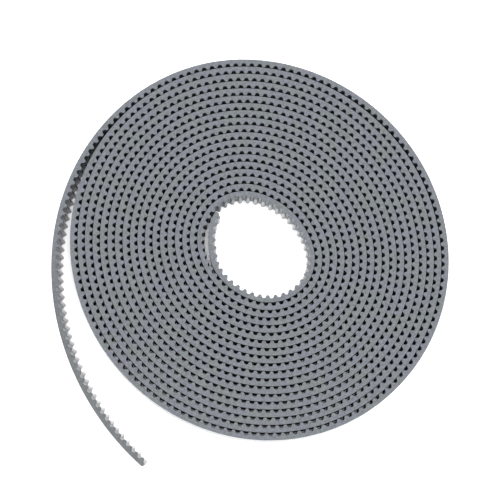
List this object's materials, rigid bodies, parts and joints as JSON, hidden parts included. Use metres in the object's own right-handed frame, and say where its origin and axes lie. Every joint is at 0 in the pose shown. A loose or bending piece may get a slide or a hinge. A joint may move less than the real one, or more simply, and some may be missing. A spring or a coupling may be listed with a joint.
{
  "type": "timing belt",
  "caption": "Open-ended round-tooth timing belt stored as a flat coil on its edge, teeth inward, with a free outer tail and a loose inner end.",
  "frame": {"origin": "middle of the bounding box in plan, on the surface that the coil stands on", "axes": "+Z along the belt's width, out of the coil's flat side; +X to the right and +Y up when the coil is seen from above with its free tail at the lower left"},
  "size_m": [0.1442, 0.1494, 0.01],
  "materials": {
    "backing": "satin grey polyurethane, slit edge",
    "tooth_layer": "moulded grey polyurethane, smooth tooth faces",
    "cord": "fine twisted steel strand, cut square"
  },
  "bodies": {
    "coil": {"coil_backing": "backing", "coil_cord_ply": "cord", "coil_tooth_layer": "tooth_layer"},
    "tail_1": {"tail_1_backing": "backing", "tail_1_tooth_layer": "tooth_layer", "tail_1_cord_ply": "cord"},
    "tail_2": {"tail_2_backing": "backing", "tail_2_tooth_layer": "tooth_layer", "tail_2_cord_ply": "cord"},
    "tail_3": {"tail_3_backing": "backing", "tail_3_tooth_layer": "tooth_layer", "tail_3_cord_ply": "cord"},
    "tail_4": {"tail_4_backing": "backing", "tail_4_tooth_layer": "tooth_layer", "tail_4_cord_ply": "cord"},
    "tail_5": {"tail_5_backing": "backing", "tail_5_tooth_layer": "tooth_layer", "tail_5_cord_ply": "cord"},
    "tail_6": {"tail_6_backing": "backing", "tail_6_tooth_layer": "tooth_layer", "tail_6_cord_ply": "cord"},
    "tail_7": {"tail_7_backing": "backing", "tail_7_tooth_layer": "tooth_layer", "tail_7_cord_ply": "cord"},
    "tail_8": {"tail_8_backing": "backing", "tail_8_tooth_layer": "tooth_layer", "tail_8_cord_01": "cord", "tail_8_cord_02": "cord", "tail_8_cord_03": "cord", "tail_8_cord_04": "cord", "tail_8_cord_05": "cord", "tail_8_cord_06": "cord", "tail_8_cord_07": "cord", "tail_8_cord_08": "cord", "tail_8_cord_09": "cord", "tail_8_cord_10": "cord", "tail_8_cord_11": "cord", "tail_8_cord_12": "cord", "tail_8_cord_13": "cord", "tail_8_cord_14": "cord"},
    "inner_1": {"inner_1_backing": "backing", "inner_1_tooth_layer": "tooth_layer", "inner_1_cord_ply": "cord"},
    "inner_2": {"inner_2_backing": "backing", "inner_2_tooth_layer": "tooth_layer", "inner_2_cord_01": "cord", "inner_2_cord_02": "cord", "inner_2_cord_03": "cord", "inner_2_cord_04": "cord", "inner_2_cord_05": "cord", "inner_2_cord_06": "cord", "inner_2_cord_07": "cord", "inner_2_cord_08": "cord", "inner_2_cord_09": "cord", "inner_2_cord_10": "cord", "inner_2_cord_11": "cord", "inner_2_cord_12": "cord", "inner_2_cord_13": "cord", "inner_2_cord_14": "cord"}
  },
  "joints": [
    {"name": "tail_bend_1", "type": "hinge", "parent": "coil", "child": "tail_1", "pos_m": [-0.06227, 0.03527, 0.005], "axis": [0, 0, -1], "range_deg": [-1.25, 12.5], "stiffness_Nm_per_rad": 0.008},
    {"name": "tail_bend_2", "type": "hinge", "parent": "tail_1", "child": "tail_2", "pos_m": [-0.06773, 0.02133, 0.005], "axis": [0, 0, -1], "range_deg": [-1.25, 12.5], "stiffness_Nm_per_rad": 0.008},
    {"name": "tail_bend_3", "type": "hinge", "parent": "tail_2", "child": "tail_3", "pos_m": [-0.07053, 0.00661, 0.005], "axis": [0, 0, -1], "range_deg": [-1.25, 12.5], "stiffness_Nm_per_rad": 0.008},
    {"name": "tail_bend_4", "type": "hinge", "parent": "tail_3", "child": "tail_4", "pos_m": [-0.07072, -0.00837, 0.005], "axis": [0, 0, -1], "range_deg": [-1.25, 12.5], "stiffness_Nm_per_rad": 0.008},
    {"name": "tail_bend_5", "type": "hinge", "parent": "tail_4", "child": "tail_5", "pos_m": [-0.06846, -0.02318, 0.005], "axis": [0, 0, -1], "range_deg": [-1.25, 12.5], "stiffness_Nm_per_rad": 0.008},
    {"name": "tail_bend_6", "type": "hinge", "parent": "tail_5", "child": "tail_6", "pos_m": [-0.06389, -0.03745, 0.005], "axis": [0, 0, -1], "range_deg": [-1.25, 12.5], "stiffness_Nm_per_rad": 0.008},
    {"name": "tail_bend_7", "type": "hinge", "parent": "tail_6", "child": "tail_7", "pos_m": [-0.05719, -0.05086, 0.005], "axis": [0, 0, -1], "range_deg": [-1.25, 12.5], "stiffness_Nm_per_rad": 0.008},
    {"name": "tail_bend_8", "type": "hinge", "parent": "tail_7", "child": "tail_8", "pos_m": [-0.04853, -0.06309, 0.005], "axis": [0, 0, -1], "range_deg": [-1.25, 12.5], "stiffness_Nm_per_rad": 0.008},
    {"name": "inner_bend_1", "type": "hinge", "parent": "coil", "child": "inner_1", "pos_m": [-0.00624, -0.00993, 0.005], "axis": [0, 0, -1], "range_deg": [0, 25], "stiffness_Nm_per_rad": 0.02},
    {"name": "inner_bend_2", "type": "hinge", "parent": "inner_1", "child": "inner_2", "pos_m": [-0.01364, 0.00256, 0.005], "axis": [0, 0, -1], "range_deg": [0, 25], "stiffness_Nm_per_rad": 0.02}
  ],
  "couplings": [
    {"joint": "tail_bend_2", "follows": "tail_bend_1", "ratio": 1},
    {"joint": "tail_bend_3", "follows": "tail_bend_1", "ratio": 1},
    {"joint": "tail_bend_4", "follows": "tail_bend_1", "ratio": 1},
    {"joint": "tail_bend_5", "follows": "tail_bend_1", "ratio": 1},
    {"joint": "tail_bend_6", "follows": "tail_bend_1", "ratio": 1},
    {"joint": "tail_bend_7", "follows": "tail_bend_1", "ratio": 1},
    {"joint": "tail_bend_8", "follows": "tail_bend_1", "ratio": 1},
    {"joint": "inner_bend_2", "follows": "inner_bend_1", "ratio": 1}
  ]
}
